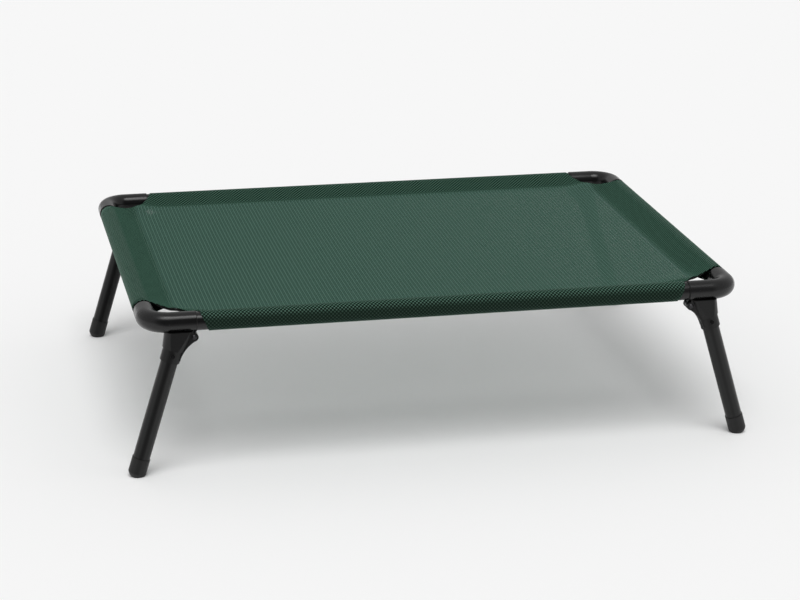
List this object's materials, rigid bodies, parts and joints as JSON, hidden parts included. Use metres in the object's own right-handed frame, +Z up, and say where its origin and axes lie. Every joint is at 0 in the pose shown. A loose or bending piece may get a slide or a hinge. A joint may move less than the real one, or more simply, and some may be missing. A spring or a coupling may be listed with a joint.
{
  "type": "raised dog cot",
  "caption": "Low rectangular pet cot: open-mesh sling stretched on a black tube frame with bent corner elbows and splayed legs that fold in under the long rails.",
  "frame": {"origin": "on the floor, under the middle of the frame", "axes": "+X along the front and back rails to the right, +Y to the back, +Z up"},
  "size_m": [1.0036, 0.7114, 0.2618],
  "materials": {
    "frame_tube": "satin black powder coat",
    "leg_tube": "satin black powder coat",
    "bracket": "moulded black polypropylene, fine texture",
    "button": "smooth black plastic",
    "foot_cap": "matt black rubber",
    "rivet": "zinc-plated steel",
    "spring": "spring steel strip",
    "mesh": "coated open-weave mesh, dark green"
  },
  "bodies": {
    "frame": {"front_rail": "frame_tube", "back_rail": "frame_tube", "left_rail": "frame_tube", "right_rail": "frame_tube", "sling_deck": "mesh", "hem_front": "mesh", "hem_back": "mesh", "hem_left": "mesh", "hem_right": "mesh", "elbow_front_left": "frame_tube", "rivet_front_left": "rivet", "elbow_front_right": "frame_tube", "rivet_front_right": "rivet", "elbow_back_left": "frame_tube", "rivet_back_left": "rivet", "elbow_back_right": "frame_tube", "rivet_back_right": "rivet"},
    "leg_front_left": {"bracket_front_left": "bracket", "leg_tube_front_left": "leg_tube", "foot_cap_front_left": "foot_cap", "button_spring_front_left": "spring"},
    "leg_front_right": {"bracket_front_right": "bracket", "leg_tube_front_right": "leg_tube", "foot_cap_front_right": "foot_cap", "button_spring_front_right": "spring"},
    "leg_back_left": {"bracket_back_left": "bracket", "leg_tube_back_left": "leg_tube", "foot_cap_back_left": "foot_cap", "button_spring_back_left": "spring"},
    "leg_back_right": {"bracket_back_right": "bracket", "leg_tube_back_right": "leg_tube", "foot_cap_back_right": "foot_cap", "button_spring_back_right": "spring"},
    "button_front_left": {"button_front_left": "button"},
    "button_front_right": {"button_front_right": "button"},
    "button_back_left": {"button_back_left": "button"},
    "button_back_right": {"button_back_right": "button"}
  },
  "joints": [
    {"name": "fold_front_left", "type": "hinge", "parent": "frame", "child": "leg_front_left", "pos_m": [-0.3965, -0.339, 0.2228], "axis": [0, -1, 0], "range_deg": [0, 106]},
    {"name": "fold_front_right", "type": "hinge", "parent": "frame", "child": "leg_front_right", "pos_m": [0.3965, -0.339, 0.2228], "axis": [0, 1, 0], "range_deg": [0, 106]},
    {"name": "fold_back_left", "type": "hinge", "parent": "frame", "child": "leg_back_left", "pos_m": [-0.3965, 0.339, 0.2228], "axis": [0, -1, 0], "range_deg": [0, 106]},
    {"name": "fold_back_right", "type": "hinge", "parent": "frame", "child": "leg_back_right", "pos_m": [0.3965, 0.339, 0.2228], "axis": [0, 1, 0], "range_deg": [0, 106]},
    {"name": "press_front_left", "type": "slide", "parent": "leg_front_left", "child": "button_front_left", "axis": [0, 1, 0], "range_m": [0, 0.0035], "stiffness_N_per_m": 1500, "springref_m": -0.003, "deforming": ["button_spring_front_left"]},
    {"name": "press_front_right", "type": "slide", "parent": "leg_front_right", "child": "button_front_right", "axis": [0, 1, 0], "range_m": [0, 0.0035], "stiffness_N_per_m": 1500, "springref_m": -0.003, "deforming": ["button_spring_front_right"]},
    {"name": "press_back_left", "type": "slide", "parent": "leg_back_left", "child": "button_back_left", "axis": [0, -1, 0], "range_m": [0, 0.0035], "stiffness_N_per_m": 1500, "springref_m": -0.003, "deforming": ["button_spring_back_left"]},
    {"name": "press_back_right", "type": "slide", "parent": "leg_back_right", "child": "button_back_right", "axis": [0, -1, 0], "range_m": [0, 0.0035], "stiffness_N_per_m": 1500, "springref_m": -0.003, "deforming": ["button_spring_back_right"]}
  ]
}
